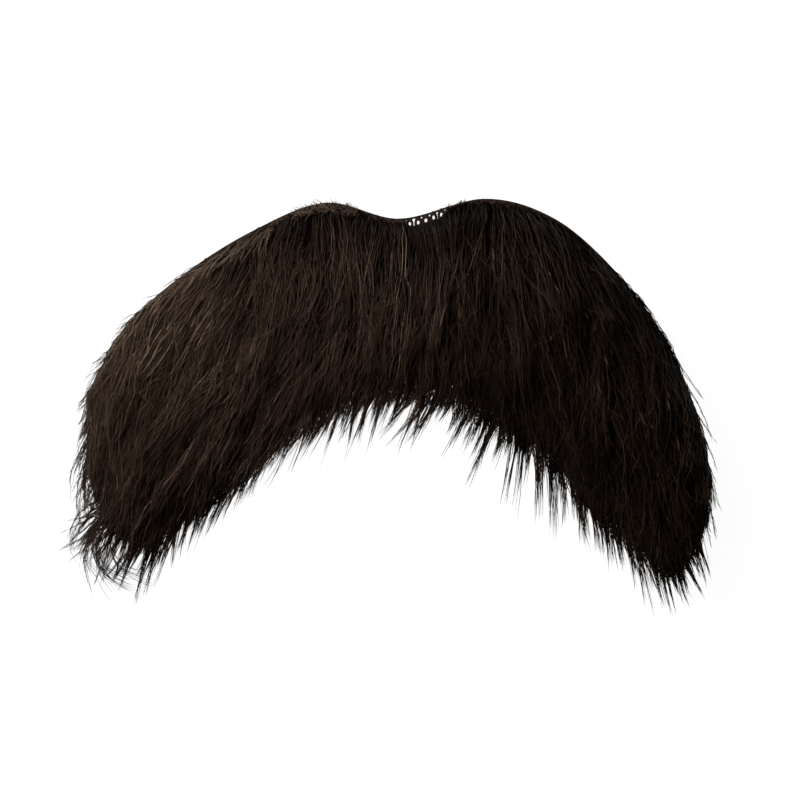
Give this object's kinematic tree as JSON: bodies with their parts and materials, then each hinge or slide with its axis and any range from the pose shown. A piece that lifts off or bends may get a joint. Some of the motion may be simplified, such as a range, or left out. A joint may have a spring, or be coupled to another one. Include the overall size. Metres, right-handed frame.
{
  "type": "false moustache",
  "caption": "Wide, drooping false moustache of long combed hair on a shaped cloth backing, laid flat; glued or taped on above the lip.",
  "frame": {"origin": "under the middle of the whole piece, on the plane that its back lies on", "axes": "+X towards the wearer's left, along the moustache's width; +Y up towards the nose; +Z out from the face, through the hair"},
  "size_m": [0.1318, 0.0844, 0.0128],
  "materials": {
    "backing_cloth": "dark brown close-knit cloth, matt",
    "dark_brown_hair": "long near-black brown hair fibre with a soft sheen"
  },
  "bodies": {
    "root": {"backing": "backing_cloth", "hair": "dark_brown_hair"}
  },
  "joints": []
}
